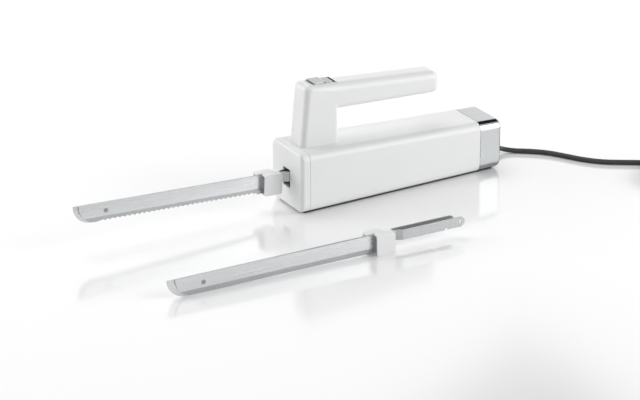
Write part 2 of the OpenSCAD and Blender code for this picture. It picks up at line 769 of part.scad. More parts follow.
// The release button comes through the far side of the sleeve
release_rise = 1;
release_z = axis_z + release_rise;
release_proud = 1.5;
release_t = wall + slide_fit;
release_stem_r = 2;
release_flange = 1.4;
module at_release() { from_front() translate([release_x, 0, release_z]) children(); }
leaf_face = leaf_y + leaf_t + release_travel + slide_fit;
module release_button() {
    side = width_at(release_x) / 2;
    color("silver") at_release() {
        rod_y(side - release_t, side + release_proud, release_r);
        rod_y(side - release_t - release_flange, side - release_t + touch, release_r + release_flange);
        rod_y(leaf_face, side - release_t, release_stem_r);
    }
}
release_spring_turns = 3;
module release_spring() {
    side = width_at(release_x) / 2;
    from = leaf_face;
    length = side - release_t - release_flange - from - 2 * spring_wire_r;
    color("gray") at_release() translate([0, from + spring_wire_r + touch, 0]) rotate([-90, 0, 0])
        coil_spring(release_stem_r + 2 * spring_wire_r + touch, length, release_spring_turns);
}

// Drive: a four-start worm over a wheel that carries two opposed eccentrics
wheel_pitch_r = gear_module * wheel_teeth / 2;
gear_distance = wheel_pitch_r + worm_pitch_d / 2;
worm_lead = PI * gear_module * worm_starts;
tooth_half_share = 0.2;
pressure_angle = 20;
flank_slope = tan(pressure_angle);
root_share = 1.2;
tip_share = 0.9;
crank_angle = asin(rest_shift / crank_r);
worm_l = 24;
worm_slices = 56;
frame_half_w = 13.5;
frame_wall = 2.4;
function flank(depth) = gear_module * (PI * tooth_half_share - depth * flank_slope);
function polar(r, a) = [r * cos(a), r * sin(a)];
module wheel_profile() {
    root = wheel_pitch_r - root_share * gear_module;
    tip = wheel_pitch_r + tip_share * gear_module;
    deg = 180 / PI / wheel_pitch_r;
    polygon([for (i = [0:wheel_teeth - 1]) let (a = 360 * (i + 1 / 2) / wheel_teeth) each [
        polar(root, a - flank(-root_share) * deg), polar(tip, a - flank(tip_share) * deg),
        polar(tip, a + flank(tip_share) * deg), polar(root, a + flank(-root_share) * deg)]]);
}
module worm_wheel() {
    twist = 360 * wheel_w * worm_lead / (PI * worm_pitch_d) / (2 * PI * wheel_pitch_r);
    color("ivory") on_drive() translate([wheel_from_front, 0, 0]) rotate([-90, 0, 0]) difference() {
        rotate(twist / 2) linear_extrude(wheel_w, center = true, twist = -twist, slices = edge_steps)
            wheel_profile();
        cylinder(h = 2 * wheel_w, r = axle_r + run_fit, center = true);
    }
}
module wheel_eccentrics() {
    color("ivory") on_drive() translate([wheel_from_front, 0, 0]) for (s = [-1, 1])
        difference() {
            translate([-s * rest_shift, s * (wheel_w + ecc_t) / 2, -s * crank_r * cos(crank_angle)])
                rod_y(-ecc_t / 2, ecc_t / 2, ecc_r);
            rod_y(-2 * wheel_w, 2 * wheel_w, axle_r + run_fit);
        }
}
module wheel_axle() {
    color("gray") on_drive() translate([wheel_from_front, 0, 0])
        rod_y(-frame_half_w - frame_wall + touch, frame_half_w + frame_wall - touch, axle_r);
}
module worm_profile() {
    root = worm_pitch_d / 2 - root_share * gear_module;
    tip = worm_pitch_d / 2 + tip_share * gear_module;
    deg = 360 / worm_lead;
    polygon([for (i = [0:worm_starts - 1]) let (a = 360 * i / worm_starts) each [
        polar(root, a - flank(-root_share) * deg), polar(tip, a - flank(tip_share) * deg), polar(tip, a),
        polar(tip, a + flank(tip_share) * deg), polar(root, a + flank(-root_share) * deg)]]);
}
module worm() {
    turn = 360 * worm_l / worm_lead;
    color("goldenrod") on_motor() translate([wheel_from_front, 0, 0]) rotate([0, 90, 0]) difference() {
        rotate(-turn / 2) linear_extrude(worm_l, center = true, twist = -turn, slices = worm_slices)
            worm_profile();
        cylinder(h = 2 * worm_l, r = shaft_end_r + touch, center = true, $fn = small_fn);
    }
}
shaft_end_r = 1.6;

// The gear frame: two cheeks, a front bridge and a rear wall with the bearing seat
frame_behind_wheel = 24;
frame_to = wheel_from_front + frame_behind_wheel;
frame_low = -16;
frame_over_worm = 7;
frame_high = gear_distance + frame_over_worm;
bridge_low = blade_h / 2 + slide_fit;
bearing_r = 6;
bearing_l = 4;
frame_foot = 7;
frame_screw_in = 6;
frame_screw_x = [frame_from + frame_screw_in, frame_to - frame_screw_in];
module gear_frame() {
    color("lightslategray") {
        on_drive() difference() {
            union() {
                both_sides() box([frame_from, frame_half_w, frame_low],
                    [frame_to, frame_half_w + frame_wall, frame_high]);
                box([frame_from, -frame_half_w - overrun, bridge_low],
                    [frame_from + bridge_t, frame_half_w + overrun, frame_high]);
                box([frame_to - bearing_l, -frame_half_w - overrun, frame_low],
                    [frame_to, frame_half_w + overrun, frame_high]);
            }
            translate([wheel_from_front, 0, 0]) rod_y(-front_w, front_w, axle_r + touch);
            translate([0, 0, gear_distance]) {
                rod_x(frame_to - bearing_l - overrun, frame_to + overrun, bearing_r + touch);
                rod_x(frame_from - overrun, frame_from + bridge_t + overrun, shaft_end_r + run_fit);
            }
        }
        above_floor() on_drive() both_sides() difference() {
            box([frame_from, frame_half_w, -front_h],
                [frame_to, frame_half_w + frame_foot, frame_low + touch]);
            for (x = frame_screw_x)
                translate([x, frame_half_w + frame_wall + screw_r + overrun, -front_h])
                    cylinder(h = front_h, r = screw_r + touch, $fn = small_fn);
        }
    }
}
frame_screw_l = 5;
module gear_frame_screws() {
    color("gray") above_floor() on_drive() both_sides() for (x = frame_screw_x)
        translate([x, frame_half_w + frame_wall + screw_r + overrun, frame_low + touch]) {
            translate([0, 0, touch]) cylinder(h = screw_head_t, r = screw_r + overrun, $fn = small_fn);
            translate([0, 0, -frame_screw_l])
                cylinder(h = frame_screw_l + overrun, r = screw_r, $fn = small_fn);
        }
}

// Motor: shaft, fan, wound armature and commutator turning in a laminated field
fan_gap = 4;
fan_from = frame_to + fan_gap;
fan_l = 8;
winding_space = 6;
stator_from = fan_from + fan_l + winding_space;
commutator_from = stator_from + stator_l + winding_space;
commutator_l = 10;
commutator_r = 7;
bracket_gap = 5;
bracket_from = commutator_from + commutator_l + bracket_gap;
shaft_beyond = 6;
shaft_rear = bracket_from + shaft_beyond;
bore_gap = 0.6;
module motor_shaft() {
    color("gray") on_motor() {
        rod_x(frame_from, wheel_from_front + worm_l / 2, shaft_end_r);
        rod_x(wheel_from_front + worm_l / 2, shaft_rear, shaft_r);
    }
}
fan_hub_r = 5;
fan_disc_t = 1.4;
fan_blade_t = 1.2;
module cooling_fan() {
    color("gainsboro") on_motor() difference() {
        union() {
            rod_x(fan_from, fan_from + fan_l, fan_hub_r);
            rod_x(fan_from, fan_from + fan_disc_t, fan_r);
            for (i = [0:fan_blades - 1]) rotate([360 * i / fan_blades, 0, 0])
                box([fan_from + fan_disc_t / 2, -fan_blade_t / 2, fan_hub_r - overrun],
                    [fan_from + fan_l, fan_blade_t / 2, fan_r - overrun / 2]);
        }
        rod_x(fan_from - overrun, fan_from + fan_l + overrun, shaft_r + touch);
    }
}
armature_slots = 12;
armature_slot_r = 1.2;
module armature() {
    color("dimgray") on_motor() difference() {
        rod_x(stator_from, stator_from + stator_l, armature_r);
        for (i = [0:armature_slots - 1]) rotate([360 * i / armature_slots, 0, 0])
            translate([0, armature_r - armature_slot_r / 2, 0])
                rod_x(stator_from - overrun, stator_from + stator_l + overrun, armature_slot_r, small_fn);
        rod_x(stator_from - overrun, stator_from + stator_l + overrun, shaft_r + touch);
    }
}
winding_l = 4.5;
winding_drop = 1.5;
winding_r = armature_r - winding_drop;
module armature_windings() {
    color("peru") on_motor() for (x = [stator_from - winding_l, stator_from + stator_l])
        translate([x + winding_l / 2, 0, 0]) rotate([0, 90, 0]) rotate_extrude($fn = round_fn)
            translate([(winding_r + shaft_r) / 2 + touch / 2, 0])
                round_rect(winding_r - shaft_r - touch, winding_l - 2 * touch, overrun);
}
bar_count = 12;
bar_slot = 0.4;
module commutator() {
    color("peru") on_motor() difference() {
        rod_x(commutator_from, commutator_from + commutator_l, commutator_r);
        for (i = [0:bar_count - 1]) rotate([360 * i / bar_count, 0, 0])
            box([commutator_from - overrun, -bar_slot / 2, commutator_r - overrun],
                [commutator_from + commutator_l - overrun, bar_slot / 2, commutator_r + overrun]);
        rod_x(commutator_from - overrun, commutator_from + commutator_l + overrun, shaft_r + touch);
    }
}
module front_bearing() {
    color("gold") on_motor() difference() {
        rod_x(frame_to - bearing_l, frame_to, bearing_r);
        rod_x(frame_to - bearing_l - overrun, frame_to + overrun, shaft_r + run_fit);
    }
}
module rear_bearing() {
    color("gold") on_motor() difference() {
        rod_x(bracket_from, bracket_from + bearing_l, bearing_r);
        rod_x(bracket_from - overrun, bracket_from + bearing_l + overrun, shaft_r + run_fit);
    }
}
coil_slot_w = 5;
coil_slot_h = 9;
coil_offset = 9;
coil_side = 11;
module field_frame() {
    color("slategray") on_motor() difference() {
        translate([stator_from, 0, 0]) rotate([90, 0, 90]) linear_extrude(stator_l)
            round_rect(stator_w, stator_h, top_r / 2);
        rod_x(stator_from - overrun, stator_from + stator_l + overrun, armature_r + bore_gap);
        for (z = [-1, 1]) both_sides() translate([0, 0, z * coil_offset])
            box([stator_from - overrun, coil_side, -coil_slot_h / 2],
                [stator_from + stator_l + overrun, coil_side + coil_slot_w, coil_slot_h / 2]);
    }
}
coil_end = 3;
module field_coils() {
    color("peru") on_motor() for (m = [0, 1]) mirror([0, 0, m]) translate([0, 0, coil_offset]) {
        both_sides() box(
            [stator_from - coil_end, coil_side + touch, -coil_slot_h / 2 + touch],
            [stator_from + stator_l + coil_end, coil_side + coil_slot_w - touch,
                coil_slot_h / 2 - touch]);
        for (x = [stator_from - coil_end, stator_from + stator_l + slide_fit])
            box([x, -coil_side - overrun, coil_slot_h / 2 - coil_end],
                [x + coil_end - slide_fit, coil_side + overrun, coil_slot_h / 2 - 2 * touch]);
    }
}
cradle_wall = 3;
foot_half_w = 18;
module motor_cradle() {
    color("gainsboro") above_floor() on_motor() difference() {
        for (x = [stator_from + cradle_wall, stator_from + stator_l - 2 * cradle_wall])
            box([x, -foot_half_w, -front_h], [x + cradle_wall, foot_half_w, -stator_h / 4]);
        translate([stator_from, 0, 0]) rotate([90, 0, 90]) linear_extrude(stator_l)
            round_rect(stator_w + 2 * touch, stator_h + 2 * touch, top_r / 2);
    }
}
rear_bracket_t = 4;
bearing_rim = 5;
module rear_bracket() {
    color("gainsboro") above_floor() on_motor() difference() {
        box([bracket_from, -foot_half_w, -front_h],
            [bracket_from + rear_bracket_t, foot_half_w, bearing_r + bearing_rim]);
        rod_x(bracket_from - overrun, bracket_from + rear_bracket_t + overrun, bearing_r + touch);
    }
}
brush_w = 5;
brush_h = 6;
holder_wall = 1.2;
holder_gap = 2;
brush_mid = commutator_from + commutator_l / 2 - overrun;
module brush_holders() {
    color("goldenrod") on_motor() both_sides() difference() {
        union() {
            box(
                [brush_mid - brush_w / 2 - holder_wall, commutator_r + holder_gap,
                    -brush_h / 2 - holder_wall],
                [brush_mid + brush_w / 2 + holder_wall, stator_w / 2 - overrun, brush_h / 2 + holder_wall]);
            box([brush_mid, commutator_r + holder_gap, -brush_h / 2 - holder_wall],
                [bracket_from - touch, stator_w / 2 - overrun, -brush_h / 2]);
        }
        box([brush_mid - brush_w / 2 - touch, commutator_r, -brush_h / 2 - touch],
            [brush_mid + brush_w / 2 + touch, stator_w / 2 - 2 * overrun, brush_h / 2 + touch]);
    }
}
brush_l = 8;
module carbon_brushes() {
    color("dimgray") on_motor() both_sides()
        box([brush_mid - brush_w / 2, commutator_r + slide_fit, -brush_h / 2],
            [brush_mid + brush_w / 2, commutator_r + slide_fit + brush_l, brush_h / 2]);
}

// Electrical pieces behind the motor, and the cord's anchorage
filter_from = bracket_from + rear_bracket_t + bracket_gap;
filter_size = [9, 13, 18];
filter_y = -19;
terminal_size = [10, 16, 12];
terminal_y = 2;
terminal_pitch = 8;
module on_floor() { from_front() translate([0, 0, foot_t + wall + touch]) children(); }
module interference_filter() {
    color("goldenrod") on_floor() translate([filter_from, filter_y, 0]) cube(filter_size);
}
module terminal_block() {
    color("ivory") on_floor() translate([filter_from, terminal_y, 0]) difference() {
        cube(terminal_size);
        for (y = [-1, 1])
            translate([terminal_size[0], terminal_size[1] + y * terminal_pitch, terminal_size[2]] / 2)
                cylinder(h = terminal_size[2], r = screw_r, $fn = small_fn);
    }
}
lead_r = 1.4;
lead_start = [filter_from + terminal_size[0] / 2, terminal_y + terminal_size[1] / 2,
    foot_t + wall + terminal_size[2] + lead_r];
lead_route = [lead_start, [193, 24.3, 33], [80, 24.3, 36], [62, 18, 54], [34, 5, 59], [31, 5, 93]];
module internal_leads() { color("royalblue") from_front() tube(lead_route, lead_r, cord_sides); }
clamp_back = 16;
clamp_from = body_l - cap_wall - clamp_back;
clamp_l = 8;
clamp_half_w = 9;
clamp_cover = 3;
clamp_high = cord_exit_z + cord_d / 2 + clamp_cover;
clamp_screw_y = 6.4;
module cord_clamp() {
    color("gainsboro") from_front() translate([0, cord_exit_y, 0]) difference() {
        box([clamp_from, -clamp_half_w, foot_t + wall + spigot_wall + touch],
            [clamp_from + clamp_l, clamp_half_w, clamp_high]);
        translate([0, 0, cord_exit_z])
            rod_x(clamp_from - overrun, clamp_from + clamp_l + overrun, cord_d / 2 + touch);
        for (y = [-1, 1]) translate([clamp_from + clamp_l / 2, y * clamp_screw_y, cord_exit_z - overrun])
            cylinder(h = clamp_high, r = screw_r / 2 + touch, $fn = small_fn);
    }
}
module clamp_screws() {
    color("gray") from_front() for (y = [-1, 1])
        translate([clamp_from + clamp_l / 2, cord_exit_y + y * clamp_screw_y, cord_exit_z]) {
            cylinder(h = clamp_high - cord_exit_z + touch, r = screw_r / 2, $fn = small_fn);
            translate([0, 0, clamp_high - cord_exit_z + touch])
                cylinder(h = screw_r, r = screw_r, $fn = small_fn);
        }
}
cord_black = [0.13, 0.13, 0.14];
relief_neck_r = 5;
relief_flange_r = 5.6;
relief_inner = 6;
relief_tip_wall = 0.8;
relief_tip_r = cord_d / 2 + relief_tip_wall;
relief_ribs = 5;
relief_rib = 0.3;
module strain_relief() {
    color(cord_black) from_front() translate([body_l, cord_exit_y, cord_exit_z]) rotate([0, 90, 0])
    difference() {
        union() {
            translate([0, 0, -cap_wall - relief_inner])
                cylinder(h = relief_inner, r = relief_flange_r);
            translate([0, 0, -cap_wall - overrun]) cylinder(h = cap_wall + overrun, r = relief_neck_r);
            cylinder(h = relief_l, r1 = relief_neck_r, r2 = relief_tip_r, $fn = round_fn);
            for (i = [0:relief_ribs - 1])
                translate([0, 0, relief_l * (i + 1) / (relief_ribs + 1)])
                    cylinder(h = relief_l / (3 * relief_ribs),
                        r = relief_neck_r + (relief_tip_r - relief_neck_r) * i / relief_ribs + relief_rib);
        }
        translate([0, 0, -cap_wall - relief_inner - overrun])
            cylinder(h = relief_l + cap_wall + relief_inner + 2 * overrun, r = cord_d / 2 + touch);
    }
}

// The lead: out of the relief, down to the rest plane, then to a coil
cord_sides = 8;
cord_route = [
    [229, 9, 12], [240, 9, 12], [252, 9, 12], [258, 9, 12], [261.5, 9, 12], [266, 9.5, 11],
    [270.5, 10.4, 9.2], [275, 11, 7.1], [279.5, 10.7, 5.2], [284.5, 8.6, 3.8], [290, 5, 3],
    [296, 0.9, 2.72], [302, -3.3, 2.72], [308, -8, 2.72], [314, -13, 2.72], [319.5, -18.8, 2.72],
    [324.7, -25.5, 2.72], [330, -34, 2.72], [335.7, -43.5, 2.72], [341.8, -53.5, 2.72],
    [348.8, -62.5, 2.72], [357, -71, 2.72], [367, -78.5, 2.72], [378, -85.5, 2.72],
    [391, -93.5, 2.72], [404, -102, 2.72], [415, -109.5, 2.72], [424, -115.5, 2.72]];
function unit(v) = v / norm(v);
function tangent(p, i) = unit(p[min(i + 1, len(p) - 1)] - p[max(i - 1, 0)]);
function tube_ring(p, t, r, sides) =
    let (side = unit(cross([0, 0, 1], t)), up = cross(t, side))
    [for (j = [0:sides - 1]) let (b = 360 * (j + 1 / 2) / sides)
        p + r * (cos(b) * side + sin(b) * up)];
module tube(points, r, sides) {
    rings = [for (i = [0:len(points) - 1]) each tube_ring(points[i], tangent(points, i), r, sides)];
    polyhedron(rings, tube_faces(len(points), sides));
}
module cord_free() { color(cord_black) from_front() tube(cord_route, cord_d / 2, cord_sides); }

// The coil: loops spiral in on the rest plane, climb and spiral out on top
coil_sides = 6;
coil_rings = 24;
coil_loops = 4;
coil_mid_r = 32.2;
coil_gap = 0.5;
coil_pitch = cord_d + coil_gap;
coil_out_r = coil_mid_r + coil_pitch * coil_loops / 2 - coil_pitch / 4;
cord_end = cord_route[len(cord_route) - 1];
cord_last = tangent(cord_route, len(cord_route) - 1);
coil_start_angle = atan2(cord_last[1], cord_last[0]) + 90;
coil_centre = cord_end + cord_last * cord_d
    - coil_out_r * [cos(coil_start_angle), sin(coil_start_angle), 0];
coil_total = 2 * coil_loops * 360;
function coil_radius(a) = let (s = abs(a - coil_total / 2) / 360)
    coil_out_r - coil_pitch * (coil_loops - s);
function coil_height(a) = let (s = (a - coil_total / 2) / 180, u = max(min(s + 1 / 2, 1), 0))
    cord_end[2] + coil_pitch * u * u * (3 - 2 * u);
function coil_point(a) = coil_centre + [0, 0, coil_height(a) - cord_end[2]]
    + coil_radius(a) * [cos(coil_start_angle - a), sin(coil_start_angle - a), 0];
coil_end_angle = coil_start_angle - coil_total;
coil_last = [sin(coil_end_angle), -cos(coil_end_angle), 0];
coil_tail_steps = 5;
coil_points = concat(
    [cord_end],
    [for (i = [0:2 * coil_loops * coil_rings]) coil_point(360 * i / coil_rings)],
    [for (i = [1:coil_tail_steps]) coil_point(coil_total) + coil_last * i * cord_d]);
module cord_coil() { color(cord_black) from_front() tube(coil_points, cord_d / 2, coil_sides); }
function path_length(p, i = 1) = i < len(p) ? norm(p[i] - p[i - 1]) + path_length(p, i + 1) : 0;
coil_apart = coil_rings / 2;
coil_count = len(coil_points);
coil_self_gap = min([for (i = [0:coil_count - 1 - coil_apart], j = [i + coil_apart:coil_count - 1])
    norm(coil_points[i] - coil_points[j])]) - cord_d;
echo(coil_self_gap = coil_self_gap);
echo(free_length = path_length(cord_route), coil_length = path_length(coil_points));

// The plug lies on the rest plane beside the coil
plug_w = 26;
plug_t = 14;
plug_neck_w = 12;
plug_neck_t = 9.6;
plug_edge_r = 4;
plug_neck_from = 7;
pin_r = 2;
pin_l = 19;
pin_pitch = 18.6;
plug_start = coil_points[len(coil_points) - 1];
module at_plug() {
    from_front() translate([plug_start[0], plug_start[1], plug_start[2]])
        rotate([0, 0, atan2(coil_last[1], coil_last[0])]) children();
}
function plug_outline(w, low, high, r) = ring_of(w / 2, low, high, r, r);
module mains_plug() {
    low = -plug_start[2];
    color(cord_black) at_plug() {
        difference() {
            hull() {
                slice_at(plug_neck_from,
                    plug_outline(plug_neck_w, -plug_neck_t / 2, plug_neck_t / 2, plug_edge_r));
                slice_at(plug_neck_from + plug_l / 2,
                    plug_outline(plug_w - plug_edge_r, low, low + plug_t, plug_edge_r));
                slice_at(plug_neck_from + plug_l, plug_outline(plug_w, low, low + plug_t, plug_edge_r));
            }
            for (y = [-1, 1]) translate([plug_neck_from + plug_l, y * pin_pitch / 2, low + plug_t / 2])
                rod_x(-pin_l / 3, overrun, pin_r + touch, small_fn);
        }
        rod_x(0, plug_neck_from + overrun, relief_tip_r);
    }
}
module plug_pins() {
    color("silver") at_plug() for (y = [-1, 1])
        translate([plug_neck_from + plug_l, y * pin_pitch / 2, -plug_start[2] + plug_t / 2])
            rod_x(-pin_l / 3 + touch, pin_l, pin_r, small_fn);
}

main_sleeve();
front_cap();
slot_liner();
rear_cap();
foot_plate();
foot_screws();
handle_near_shell();
handle_far_shell();
handle_screws();
switch_frame();
power_button();
power_spring();
lock_slider();
microswitch();
switch_bracket();
near_blade();
near_collar();
blade_rivet();
far_blade();
far_collar();
near_carrier();
far_carrier();
carrier_guide();
latch_spring();
release_button();
release_spring();
gear_frame();
gear_frame_screws();
wheel_axle();
worm_wheel();
wheel_eccentrics();
worm();
motor_shaft();
cooling_fan();
armature();
armature_windings();
commutator();
front_bearing();
rear_bearing();
field_frame();
field_coils();
motor_cradle();
rear_bracket();
brush_holders();
carbon_brushes();
interference_filter();
terminal_block();
internal_leads();
cord_clamp();
clamp_screws();
strain_relief();
cord_free();
cord_coil();
mains_plug();
plug_pins();
spare_near_blade();
spare_near_collar();
spare_rivet();
spare_far_blade();
spare_far_collar();
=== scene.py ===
"""Looks for the electric carving knife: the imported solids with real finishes, the lead and a
studio."""
import math

import bmesh
import bpy
import numpy as np
from mathutils import Matrix, Vector


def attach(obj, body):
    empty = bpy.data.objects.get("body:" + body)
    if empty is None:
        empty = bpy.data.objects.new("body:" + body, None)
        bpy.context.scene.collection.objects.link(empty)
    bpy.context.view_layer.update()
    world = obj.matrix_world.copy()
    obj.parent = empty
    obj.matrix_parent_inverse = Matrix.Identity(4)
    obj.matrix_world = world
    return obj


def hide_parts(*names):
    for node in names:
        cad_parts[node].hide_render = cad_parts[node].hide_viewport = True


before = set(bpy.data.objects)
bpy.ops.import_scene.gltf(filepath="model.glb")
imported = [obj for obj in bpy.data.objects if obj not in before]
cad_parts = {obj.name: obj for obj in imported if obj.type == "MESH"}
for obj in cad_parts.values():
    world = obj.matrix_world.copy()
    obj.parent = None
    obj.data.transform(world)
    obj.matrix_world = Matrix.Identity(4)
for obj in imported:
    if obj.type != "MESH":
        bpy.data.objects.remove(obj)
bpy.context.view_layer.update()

# The photograph's camera
# A long lens stands in front and to the side of the blades and looks down on the housing. It was
# fitted to the housing's corners in the 640 x 400 photograph.
LENS_MM, SENSOR_MM = 146.76, 36.0
NEAR_CLIP, FAR_CLIP = 0.1, 30.0
CAMERA_PLACE = (-1.36775, -2.20602, 1.09172)
CAMERA_PITCH_DEG = 23.19
CAMERA_HEADING_DEG = 59.83

camera_data = bpy.data.cameras.new("photo_camera")
camera_data.sensor_width = SENSOR_MM
camera_data.lens = LENS_MM
camera_data.clip_start, camera_data.clip_end = NEAR_CLIP, FAR_CLIP
camera = bpy.data.objects.new("photo_camera", camera_data)
camera.location = CAMERA_PLACE
camera.rotation_euler = [math.radians(a) for a in
                         (90 - CAMERA_PITCH_DEG, 0, CAMERA_HEADING_DEG - 90)]
bpy.context.scene.collection.objects.link(camera)
bpy.context.scene.camera = camera
bpy.context.scene.view_settings.view_transform = "Standard"

# The mains lead
# Two cores in a round black PVC cover, 5.4 mm thick. It leaves the strain relief, sags to the rest
# plane and lies there, and its unseen length is wound in two layers just outside the view.
LEAD_D = 0.0054
HOUSING_L = 0.252
LEAD_ROUTE_M = [
    (0.252, 0.009, 0.012), (0.258, 0.009, 0.012), (0.2615, 0.009, 0.012), (0.266, 0.0095, 0.011),
    (0.2705, 0.0104, 0.0092), (0.275, 0.011, 0.0071), (0.2795, 0.0107, 0.0052),
    (0.2845, 0.0086, 0.0038), (0.290, 0.005, 0.003), (0.296, 0.0009, 0.00272),
    (0.302, -0.0033, 0.00272), (0.308, -0.008, 0.00272), (0.314, -0.013, 0.00272),
    (0.3195, -0.0188, 0.00272), (0.3247, -0.0255, 0.00272), (0.330, -0.034, 0.00272),
    (0.3357, -0.0435, 0.00272), (0.3418, -0.0535, 0.00272), (0.3488, -0.0625, 0.00272),
    (0.357, -0.071, 0.00272), (0.367, -0.0785, 0.00272), (0.378, -0.0855, 0.00272),
    (0.391, -0.0935, 0.00272), (0.404, -0.102, 0.00272), (0.415, -0.1095, 0.00272),
    (0.424, -0.1155, 0.00272)]
COIL_LOOPS = 4
COIL_MID_R = 0.0322
COIL_PITCH = LEAD_D + 0.0005
COIL_POINTS_PER_TURN = 48
TAIL_STEPS = 5
LEAD_SIDES = 14
LEAD_STEPS = 6
GRAIN_DETAIL, MOTTLE_DETAIL = 3.0, 4.0
RAMP_SPAN = (0.3, 0.7)


def through(points, steps):
    """Catmull-Rom curve: each stretch is a cubic whose slope at each end is half the chord of the
    points on either side."""
    p = np.vstack([2 * points[0] - points[1], points, 2 * points[-1] - points[-2]])
    a, b, c, d = p[:-3, None], p[1:-2, None], p[2:-1, None], p[3:, None]
    t = (np.arange(steps) / steps)[None, :, None]
    cubic = 0.5 * (2 * b + (c - a) * t + (2 * a - 5 * b + 4 * c - d) * t ** 2
                   + (3 * b - a - 3 * c + d) * t ** 3)
    return np.vstack([cubic.reshape(-1, 3), points[-1:]])


def slopes(path):
    """Unit direction at each point, from its two neighbours."""
    t = np.gradient(path, axis=0)
    return t / np.linalg.norm(t, axis=1, keepdims=True)


def lead_path():
    """The listed route, a flat spiral in, a climb of one thickness and a spiral out above it."""
    route = np.array(LEAD_ROUTE_M)
    last = route[-1] - route[-2]
    last /= np.linalg.norm(last)
    start = math.atan2(last[1], last[0]) + math.pi / 2
    outer = COIL_MID_R + COIL_PITCH * COIL_LOOPS / 2 - COIL_PITCH / 4
    centre = route[-1] + last * LEAD_D - outer * np.array([math.cos(start), math.sin(start), 0])
    total = 2 * COIL_LOOPS
    turn = np.arange(total * COIL_POINTS_PER_TURN + 1) / COIL_POINTS_PER_TURN
    radius = outer - COIL_PITCH * (COIL_LOOPS - np.abs(turn - total / 2))
    climb = np.clip(2 * (turn - total / 2) + 0.5, 0, 1)
    angle = start - 2 * math.pi * turn
    spiral = np.stack([centre[0] + radius * np.cos(angle), centre[1] + radius * np.sin(angle),
                       route[-1, 2] + COIL_PITCH * climb ** 2 * (3 - 2 * climb)], axis=1)
    end = start - 2 * math.pi * total
    out = np.array([math.sin(end), -math.cos(end), 0])
    tail = spiral[-1] + out * LEAD_D * np.arange(1, TAIL_STEPS + 1)[:, None]
    path = np.vstack([through(route, LEAD_STEPS), spiral, tail])
    return path - np.array([HOUSING_L / 2, 0, 0])


def grid_mesh(name, grid, caps=True):
    """Quads between the rows of a grid of points, each row closed round. With caps, one face closes
    each end."""
    rows, around = grid.shape[:2]
    index = np.arange(rows * around).reshape(rows, around)
    beside = np.roll(index, -1, axis=1)
    quads = np.stack([index[:-1], beside[:-1], beside[1:], index[1:]], axis=-1)
    quads = quads.reshape(-1, 4).tolist()
    if caps:
        quads += [index[0, ::-1].tolist(), index[-1].tolist()]
    mesh = bpy.data.meshes.new(name)
    mesh.from_pydata(grid.reshape(-1, 3).tolist(), [], quads)
    mesh.polygons.foreach_set("use_smooth", np.ones(len(mesh.polygons), bool))
    mesh.validate()
    piece = bpy.data.objects.new(name, mesh)
    bpy.context.scene.collection.objects.link(piece)
    return piece


def tube_grid(path, radius, sides):
    """A circle carried along the path. Its axes are the level line and the line square to both."""
    t = slopes(path)
    side = np.cross([0.0, 0.0, 1.0], t)
    side /= np.linalg.norm(side, axis=1, keepdims=True)
    up = np.cross(t, side)
    a = 2 * np.pi * np.arange(sides) / sides
    return (path[:, None] + radius * (np.cos(a)[None, :, None] * side[:, None]
                                      + np.sin(a)[None, :, None] * up[:, None]))


def finish(name, colour, roughness, metallic=0.0, **sockets):
    """A named material with its shader's plain values. A section adds what its surface shows."""
    material = bpy.data.materials.new(name)
    material.use_nodes = True
    shader = material.node_tree.nodes["Principled BSDF"]
    shader.inputs["Base Color"].default_value = (*colour, 1)
    shader.inputs["Roughness"].default_value = roughness
    shader.inputs["Metallic"].default_value = metallic
    for key, value in sockets.items():
        shader.inputs[key.replace("_", " ")].default_value = value
    return material


def noise_node(material, scale, detail, stretch=(1, 1, 1)):
    """Noise on the piece's own Object coordinates, stretched along its axes."""
    nodes, links = material.node_tree.nodes, material.node_tree.links
    place, spread, noise = (nodes.new("ShaderNodeTexCoord"), nodes.new("ShaderNodeMapping"),
                            nodes.new("ShaderNodeTexNoise"))
    spread.inputs["Scale"].default_value = stretch
    noise.inputs["Scale"].default_value = scale
    noise.inputs["Detail"].default_value = detail
    links.new(place.outputs["Object"], spread.inputs["Vector"])
    links.new(spread.outputs["Vector"], noise.inputs["Vector"])
    return noise


def tone_ramp(material, noise, low, high):
    """A ramp from the low to the high colour over the middle of the noise's range."""
    ramp = material.node_tree.nodes.new("ShaderNodeValToRGB")
    ends = ramp.color_ramp.elements
    ends[0].position, ends[1].position = RAMP_SPAN
    ends[0].color, ends[1].color = (*low, 1), (*high, 1)
    material.node_tree.links.new(noise.outputs["Fac"], ramp.inputs["Fac"])
    return ramp


def grain(material, scale, depth, stretch=(1, 1, 1)):
    """Fine relief from noise, as moulds and grinding leave it."""
    nodes, links = material.node_tree.nodes, material.node_tree.links
    bump = nodes.new("ShaderNodeBump")
    bump.inputs["Strength"].default_value = 1.0
    bump.inputs["Distance"].default_value = depth
    noise = noise_node(material, scale, GRAIN_DETAIL, stretch)
    links.new(noise.outputs["Fac"], bump.inputs["Height"])
    links.new(bump.outputs["Normal"], nodes["Principled BSDF"].inputs["Normal"])


def mottle(material, scale, low, high, roughness):
    """Slow changes of colour between low and high, and of roughness between its two values."""
    nodes, links = material.node_tree.nodes, material.node_tree.links
    noise = noise_node(material, scale, MOTTLE_DETAIL)
    tone = tone_ramp(material, noise, low, high)
    links.new(tone.outputs["Color"], nodes["Principled BSDF"].inputs["Base Color"])
    sheen = nodes.new("ShaderNodeMapRange")
    sheen.inputs["To Min"].default_value, sheen.inputs["To Max"].default_value = roughness
    links.new(noise.outputs["Fac"], sheen.inputs["Value"])
    links.new(sheen.outputs["Result"], nodes["Principled BSDF"].inputs["Roughness"])


def wear(material, *names):
    """Gives CAD nodes this material in every slot they have."""
    for name in names:
        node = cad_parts[name]
        if not node.data.materials:
            node.data.materials.append(material)
        for held in node.material_slots:
            held.material = material


